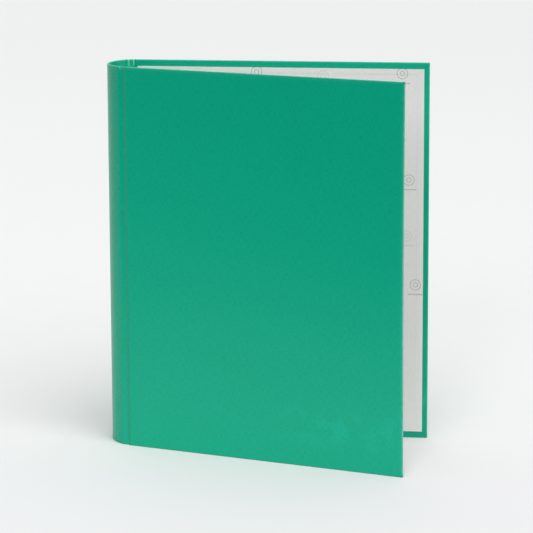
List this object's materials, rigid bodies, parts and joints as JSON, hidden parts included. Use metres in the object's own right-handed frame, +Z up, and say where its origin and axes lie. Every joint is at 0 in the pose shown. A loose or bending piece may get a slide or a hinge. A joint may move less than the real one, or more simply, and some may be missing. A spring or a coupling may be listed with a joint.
{
  "type": "lever arch file",
  "caption": "Lever arch file: green paper-covered boards hinged on a rounded spine, grey lining, lever-operated arches over filing posts and a sliding sheet compressor.",
  "frame": {"origin": "middle of the standing file's outline, on the surface it stands on, at the rest pose", "axes": "+Z up along the spine; +Y out of the back cover's outer face; -X towards the spine, so the file opens towards -Y and +X"},
  "size_m": [0.266, 0.1318, 0.32],
  "materials": {
    "cover_paper": "satin",
    "lining_paper": "matte",
    "grey_board": "matte",
    "bright_steel": "polished",
    "plated_steel": "satin",
    "black_grip": "satin"
  },
  "bodies": {
    "back_cover": {"back_cover_wrap": "cover_paper", "back_board": "grey_board", "back_lining": "lining_paper", "base_plate": "plated_steel", "shaft_bearing_lower": "plated_steel", "shaft_bearing_upper": "plated_steel", "filing_post_lower": "bright_steel", "filing_post_upper": "bright_steel", "arch_spring": "plated_steel", "spring_rivet": "plated_steel", "lever_bracket": "plated_steel", "bracket_rivet_inner": "plated_steel", "bracket_rivet_outer": "plated_steel", "lever_pivot_pin": "plated_steel", "mounting_rivet_1": "plated_steel", "mounting_rivet_2": "plated_steel", "mounting_rivet_3": "plated_steel", "mounting_rivet_4": "plated_steel"},
    "spine": {"spine_cover_wrap": "cover_paper", "spine_board": "grey_board", "spine_inner_strip": "cover_paper", "back_crease": "cover_paper", "front_crease": "cover_paper"},
    "front_cover": {"front_cover_wrap": "cover_paper", "front_board": "grey_board", "front_lining": "lining_paper"},
    "arches": {"arch_wire": "bright_steel"},
    "lever": {"lever": "bright_steel", "roller_pin": "plated_steel"},
    "roller": {"pressure_roller": "bright_steel"},
    "compressor": {"compressor_bar": "plated_steel"},
    "bail": {"compressor_bail": "bright_steel", "compressor_tab": "black_grip"}
  },
  "joints": [
    {"name": "spine_hinge", "type": "hinge", "parent": "back_cover", "child": "spine", "pos_m": [-0.11845, 0.06362, 0], "axis": [0, 0, -1], "range_deg": [0, 92], "deforming": ["back_crease"]},
    {"name": "front_hinge", "type": "hinge", "parent": "spine", "child": "front_cover", "pos_m": [-0.11666, 0.01225, 0], "axis": [0, 0, -1], "range_deg": [-17.8, 70.2], "deforming": ["front_crease"]},
    {"name": "lever_pivot", "type": "hinge", "parent": "back_cover", "child": "lever", "pos_m": [-0.07645, 0.05402, 0.16], "axis": [0, 0, 1], "range_deg": [0, 90]},
    {"name": "arch_shaft", "type": "hinge", "parent": "back_cover", "child": "arches", "pos_m": [-0.09895, 0.05862, 0.16], "axis": [0, 0, -1], "range_deg": [0, 38]},
    {"name": "roller_spin", "type": "hinge", "parent": "lever", "child": "roller", "pos_m": [-0.08495, 0.05402, 0.16], "axis": [0, 0, 1], "continuous": true},
    {"name": "compressor_slide", "type": "slide", "parent": "back_cover", "child": "compressor", "axis": [0, -1, 0], "range_m": [0, 0.018]},
    {"name": "bail_hinge", "type": "hinge", "parent": "compressor", "child": "bail", "pos_m": [-0.06045, 0.05612, 0.16], "axis": [0, 0, 1], "range_deg": [0, 50]}
  ],
  "couplings": [
    {"joint": "arch_shaft", "follows": "lever_pivot", "ratio": 0.42222}
  ]
}
